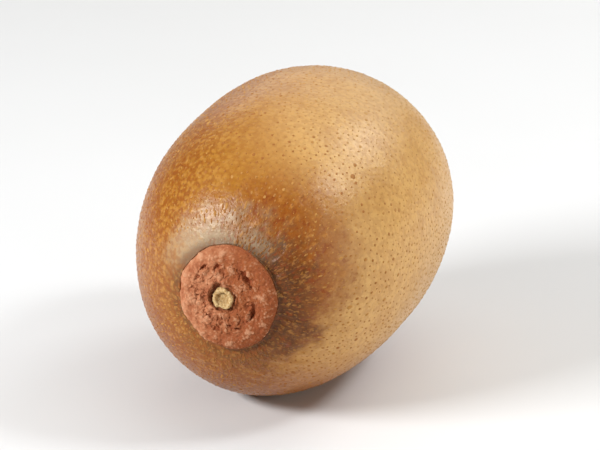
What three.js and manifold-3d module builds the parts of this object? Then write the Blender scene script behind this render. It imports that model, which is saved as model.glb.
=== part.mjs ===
/**
 * Golden kiwi fruit: the smooth-skinned, egg-shaped berry of a kiwi vine, lying on its side.
 *
 * Units are millimetres and +Z is up. The fruit's long axis runs along Y, with the stem end at -Y and
 * the blossom end at +Y. The origin is on the resting plane, under the middle of the fruit.
 * An angle called "turn" goes round the long axis, from +X towards +Z.
 *
 * Four pieces make up the fruit:
 *   fruit_body    the berry in its skin, with a low beak and puckers at the blossom end
 *   calyx_collar  the corky disc that the sepals and the stalk's shoulder leave at the stem end
 *   stalk_stub    the pale broken core of the stalk, a small cup in the middle of the collar
 *   style_tuft    the dried styles of the flower, a short dark tuft in the middle of the beak
 */
import * as THREE from 'three';
import { mergeVertices } from 'three/addons/utils/BufferGeometryUtils.js';
import Module from 'manifold-3d';

// ---- driving dimensions -------------------------------------------------------------------------

const GAP = 0.3;                    // clearance between pieces that touch
const TAU = 2 * Math.PI;

// The berry
const LENGTH = 69.0;                // pole to pole, without the collar and the tuft
const WIDTH = 53.6;                 // across the wide axis of the section
const THICKNESS = 49.8;             // across the narrow axis of the section
const SECTION_LEAN = degrees(73);   // turn of the wide axis
const POLE_FLATNESS = 2.45;         // power of the long profile along the axis; 2 is an ellipse
const SIDE_FULLNESS = 2.37;         // power of the long profile across the axis
const STEM_TAPER = -0.01;           // the stem end is this much slimmer than the middle
const LOBE_HEIGHT = 0.0157;         // how far three soft lobes swell the section, as a share of it
const LOBE_TURN = degrees(8.3);     // turn of the first lobe's crest
const UNEVENNESS = 0.12;            // height of the soft waves that growth leaves on the skin
const FLAT_SPOT_DEPTH = 0.85;       // how far the resting spot is pressed in
const BODY_COLUMNS = 72;
const BODY_ROWS = 48;
const ROW_CROWDING = 0.4;           // how much closer the rows are at the two ends

// The blossom end
const BEAK_HEIGHT = 0.9;
const BEAK_RADIUS = 4.4;
const PUCKER_COUNT = 11;
const PUCKER_DEPTH = 0.32;
const PUCKER_RADIUS = 5.2;          // distance from the axis where the puckers are deepest
const PUCKER_SPREAD = 2.2;

// The calyx collar
const COLLAR_RADIUS = 8.55;
const COLLAR_X = -0.45;             // the collar's middle, from the fruit's axis
const COLLAR_Z = -0.5;
const COLLAR_OVAL = 0.035;          // the collar is this much taller than it is wide, each way
const COLLAR_WAVE = 0.018;          // waves in the collar's outline, as a share of its radius
const COLLAR_RIM_ROUND = 1.0;       // radius of the rolled outer edge
const COLLAR_FACE = 0.35;           // how far the collar's face stands out past the berry's pole
const COLLAR_DOME = 0.85;           // how far the face falls back from the middle to the outer edge
const COLLAR_DEPTH = 4.0;           // middle of the face to the back
const PLATEAU_DROP = 0.35;          // the inner plateau is this much lower than the outer ring
const PLATEAU_RADIUS = 4.8;
const PIT_RADIUS = 2.6;
const PIT_DEPTH = 1.9;
const PIT_X = -0.15;                 // the pit's middle, from the collar's
const PIT_Z = 0.75;
const COLLAR_COLUMNS = 84;
const RIM_STEPS = 4;
const FACE_STEP = 0.42;             // distance between the rings of the face

// Broken ring of cracks in the collar: turn of the middle, half of the arc, distance from the axis
// at each end, width and depth.
const CRACKS = [
  { turn: degrees(147), arc: degrees(5), near: 5.8, far: 6.1, width: 0.5, depth: 0.8 },
  { turn: degrees(127), arc: degrees(4), near: 6.5, far: 6.3, width: 0.5, depth: 0.8 },
  { turn: degrees(104), arc: degrees(9), near: 6.1, far: 5.2, width: 0.5, depth: 0.9 },
  { turn: degrees(51), arc: degrees(18), near: 4.9, far: 5.5, width: 0.5, depth: 1.0 },
  { turn: degrees(-25), arc: degrees(18), near: 5.2, far: 4.9, width: 0.6, depth: 1.3 },
  { turn: degrees(-76), arc: degrees(12), near: 4.5, far: 5.5, width: 0.6, depth: 0.9 },
  { turn: degrees(-107), arc: degrees(7), near: 5.5, far: 5.3, width: 0.5, depth: 0.7 },
  { turn: degrees(-132), arc: degrees(8), near: 4.7, far: 4.3, width: 0.6, depth: 0.8 },
  { turn: degrees(178), arc: degrees(9), near: 5.0, far: 5.2, width: 0.5, depth: 0.5 },
];

// The stalk stub
const STUB_RADIUS = 1.8;
const STUB_WALL = 0.7;
const STUB_PROUD = 0.25;            // how far its rim stands out past the plateau
const STUB_HOLLOW = 0.9;            // depth of the cup
const STUB_X = -0.55;               // the stub's middle, from the fruit's axis
const STUB_Z = -0.15;
const STUB_NOTCH_TURN = degrees(125);
const STUB_NOTCH_DEPTH = 0.55;      // the rim is broken down by this much at its notch

// The style tuft
const TUFT_RADIUS = 1.5;
const TUFT_BASE_HEIGHT = 1.0;
const STYLE_COUNT = 11;
const STYLE_LENGTH = 2.3;
const STYLE_THICKNESS = 0.5;
const STYLE_SPREAD = 1.1;           // how far the tip of a style leans outwards

const SKIN = { color: '#b98443', roughness: 0.55, metalness: 0 };
const CORK = { color: '#a4613d', roughness: 0.85, metalness: 0 };
const PITH = { color: '#d8bf8e', roughness: 0.8, metalness: 0 };
const DRIED_STYLE = { color: '#3f2a18', roughness: 0.9, metalness: 0 };

// ---- places that follow from them ---------------------------------------------------------------

const HALF_LENGTH = LENGTH / 2;
const COLLAR_FACE_Y = -HALF_LENGTH - COLLAR_FACE;
const COLLAR_BACK_Y = COLLAR_FACE_Y + COLLAR_DEPTH;
const PIT_FLOOR_Y = COLLAR_FACE_Y + PLATEAU_DROP + PIT_DEPTH;
const TUFT_FLOOR_Y = HALF_LENGTH + BEAK_HEIGHT - TUFT_BASE_HEIGHT;

function degrees(angle) {
  return THREE.MathUtils.degToRad(angle);
}

/** A soft bell: 1 at the middle and nearly 0 two spreads away. */
function bell(distance, spread) {
  return Math.exp(-((distance / spread) ** 2));
}

/** The smaller angle between two turns. */
function turnBetween(one, other) {
  const difference = Math.abs(one - other) % TAU;
  return Math.min(difference, TAU - difference);
}

// ---- solids and meshes --------------------------------------------------------------------------

const wasm = await Module();
wasm.setup();

/** Leaves only shared positions in a geometry, as a closed body needs. */
function closed(geometry) {
  geometry.deleteAttribute('normal');
  geometry.deleteAttribute('uv');
  return mergeVertices(geometry, 1e-5);
}

/** Moves every vertex of a closed geometry by a rule that changes the vector it is given. */
function reshape(geometry, rule) {
  const position = geometry.getAttribute('position');
  const point = new THREE.Vector3();
  for (let index = 0; index < position.count; index += 1) {
    point.fromBufferAttribute(position, index);
    rule(point);
    position.setXYZ(index, point.x, point.y, point.z);
  }
  return geometry;
}

function toSolid(geometry) {
  return new wasm.Manifold(new wasm.Mesh({
    numProp: 3,
    vertProperties: new Float32Array(geometry.getAttribute('position').array),
    triVerts: new Uint32Array(geometry.getIndex().array),
  }));
}

function toGeometry(solid) {
  const mesh = solid.getMesh();
  const geometry = new THREE.BufferGeometry();
  geometry.setAttribute('position', new THREE.BufferAttribute(mesh.vertProperties, 3));
  geometry.setIndex(new THREE.BufferAttribute(mesh.triVerts, 1));
  geometry.computeVertexNormals();
  return geometry;
}

function piece(name, geometry, finish) {
  geometry.computeVertexNormals();
  const mesh = new THREE.Mesh(geometry, new THREE.MeshStandardMaterial(finish));
  mesh.name = name;
  return mesh;
}

/** A body turned about the fruit's axis: each outline point is [distance from axis, place along -Y]. */
function turned(outline, columns) {
  const points = outline.map(([radius, height]) => new THREE.Vector2(radius, height));
  const geometry = closed(new THREE.LatheGeometry(points, columns));
  return geometry.rotateX(Math.PI);
}

// ---- the berry ----------------------------------------------------------------------------------

/** The soft waves of a grown skin, in millimetres outwards. */
function unevenness(along, turn) {
  const coarse = Math.sin(2 * turn + 4 * along + 0.6) * Math.sin(3 * along + 1.1);
  const fine = 0.5 * Math.sin(5 * turn - 7 * along) * Math.cos(9 * along + 2 * turn);
  return UNEVENNESS * (1 - along * along) * (coarse + fine);
}

/** The skin, for a place along the axis (1 at the stem end, -1 at the blossom end) and a turn. */
function skinPoint(along, turn, point) {
  const profile = (1 - Math.abs(along) ** POLE_FLATNESS) ** (1 / SIDE_FULLNESS);
  const taper = 1 + STEM_TAPER * along;
  const lobes = 1 + LOBE_HEIGHT * (1 - along * along) * Math.cos(3 * (turn - LOBE_TURN));
  const leaning = turn - SECTION_LEAN;
  const wide = WIDTH / 2 * Math.cos(leaning);
  const narrow = THICKNESS / 2 * Math.sin(leaning);
  const share = profile * taper * lobes;
  const swell = 1 + unevenness(along, turn) / (WIDTH / 2);
  const x = (wide * Math.cos(SECTION_LEAN) - narrow * Math.sin(SECTION_LEAN)) * share * swell;
  const z = (wide * Math.sin(SECTION_LEAN) + narrow * Math.cos(SECTION_LEAN)) * share * swell;
  return point.set(x, -HALF_LENGTH * along + blossomRelief(along, x, z), z);
}

/** The beak and the puckers round it, in millimetres along +Y. */
function blossomRelief(along, x, z) {
  if (along > 0) {
    return 0;
  }
  const distance = Math.hypot(x, z);
  const turn = Math.atan2(z, x);
  const beak = BEAK_HEIGHT * bell(distance, BEAK_RADIUS);
  const fold = 0.5 + 0.5 * Math.cos(PUCKER_COUNT * turn + 1.3 * Math.sin(2 * turn));
  return beak - PUCKER_DEPTH * fold * bell(distance - PUCKER_RADIUS, PUCKER_SPREAD);
}

function berryGeometry() {
  const sphere = closed(new THREE.SphereGeometry(1, BODY_COLUMNS, BODY_ROWS)).rotateX(Math.PI);
  return reshape(sphere, (point) => {
    const share = Math.acos(THREE.MathUtils.clamp(-point.y, -1, 1)) / Math.PI;
    const crowded = share - ROW_CROWDING * Math.sin(TAU * share) / TAU;
    skinPoint(Math.cos(Math.PI * crowded), Math.atan2(point.z, point.x), point);
  });
}

function fruitBody() {
  const berry = toSolid(berryGeometry());
  const floor = new THREE.BoxGeometry(2 * WIDTH, 2 * LENGTH, WIDTH);
  floor.translate(0, 0, restingHeight() - WIDTH / 2);
  const solid = berry
    .subtract(toSolid(closed(floor)))
    .subtract(toSolid(collarSeat()))
    .subtract(toSolid(tuftSeat()));
  return piece('fruit_body', toGeometry(solid), SKIN);
}

/** The height of the resting plane while the fruit's axis is still at height 0. */
function restingHeight() {
  const berry = berryGeometry();
  berry.computeBoundingBox();
  return berry.boundingBox.min.z + FLAT_SPOT_DEPTH;
}

// ---- the calyx collar ---------------------------------------------------------------------------

/** The collar's outer radius, over the round one, at a turn. */
function collarOutline(turn) {
  const oval = -COLLAR_OVAL * Math.cos(2 * turn);
  const waves = COLLAR_WAVE * (0.6 * Math.sin(5 * turn + 0.8) + 0.4 * Math.sin(9 * turn + 2.1));
  return 1 + oval + waves;
}

/** Gives a round disc the collar's outline and sets it on the collar's middle. */
function followCollar(point) {
  const outline = collarOutline(Math.atan2(point.z, point.x));
  point.x = point.x * outline + COLLAR_X;
  point.z = point.z * outline + COLLAR_Z;
}

function collarSeat() {
  const radius = COLLAR_RADIUS + GAP;
  const floor = -COLLAR_BACK_Y - GAP;
  const outside = HALF_LENGTH + COLLAR_RADIUS;
  const seat = turned([[0, floor], [radius, floor], [radius, outside], [0, outside]], COLLAR_COLUMNS);
  return reshape(seat, followCollar);
}

/** How far a crack pushes the collar's face in, at a distance from the axis and a turn. */
function crackDepth(crack, distance, turn) {
  const offset = turnBetween(turn, crack.turn);
  const after = Math.sin(turn - crack.turn) > 0 ? 1 : -1;
  const place = 0.5 + 0.5 * after * Math.min(1, offset / crack.arc);
  const middle = THREE.MathUtils.lerp(crack.near, crack.far, place);
  const fade = 1 - THREE.MathUtils.smoothstep(offset, crack.arc * 0.7, crack.arc * 1.4);
  return crack.depth * fade * bell(distance - middle, crack.width);
}

/** The relief of the collar's face, in millimetres inwards. */
function collarRelief(x, z) {
  const distance = Math.hypot(x, z);
  const turn = Math.atan2(z, x);
  const outside = THREE.MathUtils.smoothstep(distance, PLATEAU_RADIUS - 0.8, PLATEAU_RADIUS + 1.2);
  const plateau = PLATEAU_DROP * (1 - outside);
  const cracks = CRACKS.map((crack) => crackDepth(crack, distance, turn));
  const folds = 0.12 * Math.sin(13 * turn + 2 * distance) * bell(distance - 4.2, 1.5);
  return plateau + folds + Math.max(...cracks);
}

/** How far the domed face stands out along -Y at a distance from its middle. */
function collarFace(distance) {
  return -COLLAR_FACE_Y - COLLAR_DOME * (distance / COLLAR_RADIUS) ** 2;
}

/** The collar's half section: flat back, upright side, rolled edge and domed face. */
function collarSection() {
  const back = -COLLAR_BACK_Y;
  const edge = COLLAR_RADIUS - COLLAR_RIM_ROUND;
  const section = [[0, back], [COLLAR_RADIUS, back]];
  for (let step = 0; step <= RIM_STEPS; step += 1) {
    const angle = step / RIM_STEPS * Math.PI / 2;
    const fall = COLLAR_RIM_ROUND * (1 - Math.sin(angle));
    section.push([edge + COLLAR_RIM_ROUND * Math.cos(angle), collarFace(edge) - fall]);
  }
  for (let radius = edge - FACE_STEP; radius > PIT_RADIUS / 2; radius -= FACE_STEP) {
    section.push([radius, collarFace(radius)]);
  }
  section.push([0, collarFace(0)]);
  return section;
}

function calyxCollar() {
  const disc = reshape(turned(collarSection(), COLLAR_COLUMNS), followCollar);
  reshape(disc, (point) => {
    if (point.y < COLLAR_BACK_Y - COLLAR_DEPTH / 2) {
      point.y += collarRelief(point.x - COLLAR_X, point.z - COLLAR_Z);
    }
  });
  const solid = toSolid(disc).subtract(toSolid(pit()));
  return piece('calyx_collar', toGeometry(solid), CORK);
}

function pit() {
  const floor = -PIT_FLOOR_Y;
  const outside = -COLLAR_FACE_Y + PIT_DEPTH;
  const outline = [[0, floor], [PIT_RADIUS * 0.9, floor], [PIT_RADIUS, outside], [0, outside]];
  return turned(outline, 28).translate(COLLAR_X + PIT_X, 0, COLLAR_Z + PIT_Z);
}

// ---- the stalk stub -----------------------------------------------------------------------------

function stalkStub() {
  const floor = -PIT_FLOOR_Y + GAP;
  const rim = -COLLAR_FACE_Y - PLATEAU_DROP + STUB_PROUD;
  const inner = STUB_RADIUS - STUB_WALL;
  const outline = [
    [0, floor], [STUB_RADIUS * 0.86, floor], [STUB_RADIUS * 0.95, rim - 1], [STUB_RADIUS, rim - 0.3],
    [STUB_RADIUS * 0.93, rim], [inner, rim - 0.05], [inner * 0.8, rim - STUB_HOLLOW * 0.7],
    [inner * 0.4, rim - STUB_HOLLOW], [0, rim - STUB_HOLLOW * 0.8],
  ];
  const cup = reshape(turned(outline, 26), (point) => {
    if (point.y > -rim + 0.4) {
      return;
    }
    const turn = Math.atan2(point.z, point.x);
    const notch = STUB_NOTCH_DEPTH * bell(turnBetween(turn, STUB_NOTCH_TURN), 0.7);
    point.y += notch + 0.12 + 0.12 * Math.sin(4 * turn + 0.5);
  });
  return piece('stalk_stub', cup.translate(STUB_X, 0, STUB_Z), PITH);
}

// ---- the style tuft -----------------------------------------------------------------------------

function tuftSeat() {
  const radius = TUFT_RADIUS + GAP;
  const outside = -TUFT_FLOOR_Y - 2 * BEAK_RADIUS;
  return turned([[0, outside], [radius, outside], [radius, -TUFT_FLOOR_Y], [0, -TUFT_FLOOR_Y]], 24);
}

/** One dried style: a tapering stem that leans out and curls, rooted in the tuft's base. */
function style(index) {
  const turn = index * degrees(137.5);
  const start = TUFT_RADIUS * 0.72 * Math.sqrt((index + 0.5) / STYLE_COUNT);
  const length = STYLE_LENGTH * (0.75 + 0.25 * Math.sin(2.4 * index));
  const stem = new THREE.ConeGeometry(STYLE_THICKNESS / 2, length, 6, 4).translate(0, length / 2, 0);
  return reshape(closed(stem), (point) => {
    const share = point.y / length;
    const lean = start + STYLE_SPREAD * share * share;
    const curl = turn + 0.5 * share;
    const thicker = 1 + 0.5 * share;
    point.set(
      point.x * thicker + lean * Math.cos(curl),
      TUFT_FLOOR_Y + GAP + TUFT_BASE_HEIGHT / 2 + point.y,
      point.z * thicker + lean * Math.sin(curl),
    );
  });
}

function styleTuft() {
  const back = -TUFT_FLOOR_Y - GAP;
  const front = back - TUFT_BASE_HEIGHT;
  const radius = TUFT_RADIUS;
  const base = [[0, front], [radius * 0.7, front], [radius, front + 0.4], [radius, back], [0, back]];
  let solid = toSolid(turned(base, 20));
  for (let index = 0; index < STYLE_COUNT; index += 1) {
    solid = solid.add(toSolid(style(index)));
  }
  return piece('style_tuft', toGeometry(solid), DRIED_STYLE);
}

// ---- the fruit ----------------------------------------------------------------------------------

const fruit = new THREE.Group();
fruit.add(fruitBody(), calyxCollar(), stalkStub(), styleTuft());
const box = new THREE.Box3().setFromObject(fruit);
const middle = box.getCenter(new THREE.Vector3());
fruit.position.set(-middle.x, -middle.y, -box.min.z);

export default fruit;
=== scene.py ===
"""Dresses the golden kiwi fruit: a bronze berry on its side, its corky stem end, stalk and dried styles."""

import logging
import math
from collections.abc import Iterator
from contextlib import contextmanager
from dataclasses import dataclass
from enum import Enum
from functools import cached_property
from typing import NamedTuple

import bpy
import numpy as np
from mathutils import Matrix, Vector
from mathutils import noise


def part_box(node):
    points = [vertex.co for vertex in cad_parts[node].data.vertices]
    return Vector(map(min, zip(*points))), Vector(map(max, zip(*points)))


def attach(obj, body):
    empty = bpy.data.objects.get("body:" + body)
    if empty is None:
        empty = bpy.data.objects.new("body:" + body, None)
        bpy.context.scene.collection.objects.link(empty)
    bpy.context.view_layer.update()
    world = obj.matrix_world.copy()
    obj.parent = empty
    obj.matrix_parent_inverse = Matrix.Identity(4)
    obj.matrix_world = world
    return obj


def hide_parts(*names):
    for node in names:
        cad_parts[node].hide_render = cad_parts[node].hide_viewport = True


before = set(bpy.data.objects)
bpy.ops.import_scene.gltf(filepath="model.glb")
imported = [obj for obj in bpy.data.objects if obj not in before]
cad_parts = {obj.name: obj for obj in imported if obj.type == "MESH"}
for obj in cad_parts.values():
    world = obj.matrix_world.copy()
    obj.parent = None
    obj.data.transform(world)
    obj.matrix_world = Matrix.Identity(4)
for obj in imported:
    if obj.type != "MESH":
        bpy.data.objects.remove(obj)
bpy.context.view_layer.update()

LOG = logging.getLogger("kiwi")

MM = 0.001
TAU = 2 * math.pi
BODY = "root"
BERRY_LENGTH = 69.0 * MM

Array = np.ndarray
Piece = bpy.types.Object
Material = bpy.types.Material
Socket = bpy.types.NodeSocket
Value = Socket | float
Point = tuple[float, float, float]
Section = list[tuple[float, float]]


class Slot(Enum):
    """The record's material slots."""

    SKIN = "skin"
    CORK = "calyx_cork"
    PITH = "stalk_pith"
    STYLE = "dried_style"


class Node(Enum):
    """The solids that the dressed pieces stand for."""

    BERRY = "fruit_body"
    COLLAR = "calyx_collar"
    STUB = "stalk_stub"
    TUFT = "style_tuft"


class Place(NamedTuple):
    """Where the middle of the berry lies in the frame."""

    x: float
    y: float
    z: float


# ---- numbers and shapes -------------------------------------------------------------------------


def bell(distance: Array, spread: float) -> Array:
    """Gives 1 where distance is 0, and nearly 0 two spreads away."""
    return np.exp(-((distance / spread) ** 2))


def ramp(value: Array, low: float, high: float) -> Array:
    """Rises smoothly from 0 at low to 1 at high."""
    share = np.clip((value - low) / (high - low), 0, 1)
    return share * share * (3 - 2 * share)


def fall(value: Array, low: float, high: float) -> Array:
    """Falls smoothly from 1 at low to 0 at high."""
    return 1 - ramp(value, low, high)


def polar(points: Array, x: float = 0.0, z: float = 0.0) -> tuple[Array, Array]:
    """Measures points from an axis along Y.

    Args:
        points: One row of x, y, z for each point.
        x: The axis's place along X.
        z: The axis's place along Z.

    Returns:
        The distances from the axis and the turns round it, one for each point.
    """
    across = points[:, 0] - x
    up = points[:, 2] - z
    return np.hypot(across, up), np.arctan2(up, across)


def turn_between(turns: Array, degrees: float) -> Array:
    """Gives the signed angle from a turn in degrees to each of the turns, up to half a circle."""
    return (turns - math.radians(degrees) + math.pi) % TAU - math.pi


def wrapped(turns: Array, size: float, along: Array | float = 0.0) -> Array:
    """Gives places in noise that close on themselves round a full turn, on a circle of a size."""
    return np.stack([size * np.cos(turns), size * np.sin(turns), along + 0 * turns], axis=1)


def grain(points: Array, size: float, seed: float) -> Array:
    """Samples soft noise at points.

    Args:
        points: One row of x, y, z for each sample.
        size: The size of one grain, in the same unit as the points.
        seed: Moves the sample to another part of the noise.

    Returns:
        Values from about -1 to 1, one for each point.
    """
    return np.array([noise.noise(Vector(point)) for point in points / size + seed])


def crumbs(points: Array, size: float, seed: float) -> Array:
    """Samples packed round crumbs of a size: about 1 in the middle of each, down to 0 between them."""
    return 1 - np.array([noise.voronoi(Vector(point))[0][0] for point in points / size + seed])


def creases(values: Array, width: float) -> Array:
    """Gives 1 where noise crosses 0, which it does along winding lines, and 0 away from there."""
    return fall(np.abs(values), 0, width)


@dataclass(frozen=True)
class Ripple:
    """One layer of soft noise: its height and the size of its grains in millimetres, and its seed."""

    height: float
    size: float
    seed: float


def rippled(points: Array, *layers: Ripple) -> Array:
    """Adds up layers of soft noise at points, in metres."""
    return sum(layer.height * MM * grain(points, layer.size * MM, layer.seed) for layer in layers)


def arc(middle: tuple[float, float], across: float, along: float, turns: Array) -> Section:
    """Draws a stretch of an ellipse, by its middle and half axes, through the given turns."""
    return [(middle[0] + across * math.cos(turn), middle[1] + along * math.sin(turn)) for turn in turns]


# ---- modelling ----------------------------------------------------------------------------------


def choose(*pieces: Piece) -> None:
    """Leaves edit mode and selects the pieces alone, the last of them active.

    Args:
        pieces: What to select; with none, nothing stays selected.
    """
    if bpy.context.object and bpy.context.object.mode != "OBJECT":
        bpy.ops.object.mode_set(mode="OBJECT")
    bpy.ops.object.select_all(action="DESELECT")
    for piece in pieces:
        piece.select_set(True)
        bpy.context.view_layer.objects.active = piece


@contextmanager
def editing(kind: str) -> Iterator[None]:
    """Opens the active piece for editing, with everything selected.

    Args:
        kind: What is picked while it is open: VERT, EDGE or FACE.
    """
    bpy.ops.object.mode_set(mode="EDIT")
    bpy.ops.mesh.select_mode(type=kind)
    bpy.ops.mesh.select_all(action="SELECT")
    yield
    bpy.ops.object.mode_set(mode="OBJECT")


def turn_faces_out() -> None:
    """Turns every face of the piece that is open for editing outwards."""
    bpy.ops.mesh.select_all(action="SELECT")
    bpy.ops.mesh.normals_make_consistent(inside=False)


def spin_section(name: str, section: Section, steps: int) -> Piece:
    """Draws a half section point by point and spins it about the Y axis into a closed body.

    Args:
        name: The new object's name.
        section: Points of distance from the axis and place along Y, starting and ending on the axis.
        steps: How many slices the full turn has.

    Returns:
        The new object, with its axis on the Y axis and its faces outwards.
    """
    choose()
    bpy.ops.mesh.primitive_plane_add(size=MM, location=(0, 0, 0))
    piece = bpy.context.object
    piece.name = name
    piece.data.name = name
    with editing("VERT"):
        bpy.ops.mesh.merge(type="CENTER")
        bpy.ops.transform.translate(value=(*section[0], 0))
        for (radius, place), (last_radius, last_place) in zip(section[1:], section):
            step = (radius - last_radius, place - last_place, 0)
            bpy.ops.mesh.extrude_region_move(TRANSFORM_OT_translate={"value": step})
        bpy.ops.mesh.select_all(action="SELECT")
        bpy.ops.mesh.spin(steps=steps, angle=TAU, center=(0, 0, 0), axis=(0, 1, 0))
        bpy.ops.mesh.select_all(action="SELECT")
        bpy.ops.mesh.remove_doubles(threshold=2e-6)
        turn_faces_out()
    return piece


def read_vertices(piece: Piece, what: str) -> Array:
    """Reads three numbers of each vertex.

    Args:
        piece: The piece to read.
        what: The numbers' name in Blender.

    Returns:
        One row for each vertex.
    """
    flat = np.zeros(len(piece.data.vertices) * 3, np.float32)
    piece.data.vertices.foreach_get(what, flat)
    return flat.reshape(-1, 3).astype(float)


def points_of(piece: Piece) -> Array:
    """Reads the places of the piece's vertices."""
    return read_vertices(piece, "co")


def outward_of(piece: Piece) -> Array:
    """Reads the outward directions of the piece's vertices."""
    return read_vertices(piece, "normal")


def move_vertices(piece: Piece, points: Array) -> None:
    """Puts the piece's vertices at the given points."""
    piece.data.vertices.foreach_set("co", points.astype(np.float32).ravel())
    piece.data.update()


def keep_attribute(piece: Piece, name: str, values: Array) -> None:
    """Stores one number for each vertex, for the material to read."""
    attribute = piece.data.attributes.new(name, "FLOAT", "POINT")
    attribute.data.foreach_set("value", values.astype(np.float32))


def settle(piece: Piece, points: Array) -> Piece:
    """Puts the piece's vertices at their last points and shades it smooth.

    Args:
        piece: The piece, complete but for its place.
        points: Its last points, one row each.

    Returns:
        The same piece.
    """
    move_vertices(piece, points)
    choose(piece)
    bpy.ops.object.shade_smooth()
    return piece


def finish_piece(piece: Piece, node: Node, material: Material) -> None:
    """Gives the piece its material and its place in the frame.

    Args:
        piece: The finished piece, with its place in its mesh.
        node: The solid that the piece stands for.
        material: The piece's only material.
    """
    piece.data.materials.clear()
    piece.data.materials.append(material)
    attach(piece, BODY)
    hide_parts(node.value)
    LOG.info("%s: %d faces", piece.name, len(piece.data.polygons))


# ---- the stem end -------------------------------------------------------------------------------


@dataclass(frozen=True)
class Crack:
    """One crack of the broken ring in the collar's face: its turns in degrees, its sizes in mm."""

    turn: float
    arc: float
    near: float
    far: float
    width: float
    depth: float

    WALL_SHARE = 0.55
    LIP_SHARE = 0.36
    LIP_BACK = 0.60 * MM
    LIP_SPREAD = 0.26 * MM
    LEAST_WIDTH = 0.02 * MM

    def depth_at(self, distance: Array, turns: Array) -> Array:
        """Works out how far the crack pushes the face in, and its curled inner lip raises it.

        Args:
            distance: Each point's distance from the middle of the face.
            turns: Each point's turn round it.

        Returns:
            The depth at each point, in metres.
        """
        along = turn_between(turns, self.turn) / math.radians(self.arc)
        middle = (self.near + (self.far - self.near) * (along + 1) / 2) * MM
        ragged = 1 + 0.35 * np.sin(7.3 * along + self.turn) * np.sin(3.1 * along)
        open_share = np.sqrt(np.clip(1 - along * along, 0, 1)) * ragged
        half_width = self.width * MM * open_share + self.LEAST_WIDTH
        wall = fall(np.abs(distance - middle), 0.1 * half_width, half_width)
        lip = bell(distance - middle + self.LIP_BACK, self.LIP_SPREAD)
        return self.depth * MM * open_share * (self.WALL_SHARE * wall - self.LIP_SHARE * lip)


CRACKS = (
    Crack(147, 8, 5.8, 6.1, 0.42, 0.80),
    Crack(127, 7, 6.5, 6.3, 0.38, 0.75),
    Crack(104, 12, 6.2, 5.2, 0.36, 0.85),
    Crack(51, 24, 5.3, 5.9, 0.46, 1.00),
    Crack(-25, 23, 5.2, 4.9, 0.46, 1.15),
    Crack(-76, 15, 4.4, 5.6, 0.46, 0.85),
    Crack(-107, 10, 5.6, 5.2, 0.42, 0.70),
    Crack(-132, 12, 4.8, 4.2, 0.46, 0.80),
    Crack(178, 12, 5.0, 5.3, 0.34, 0.50),
)


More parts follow.
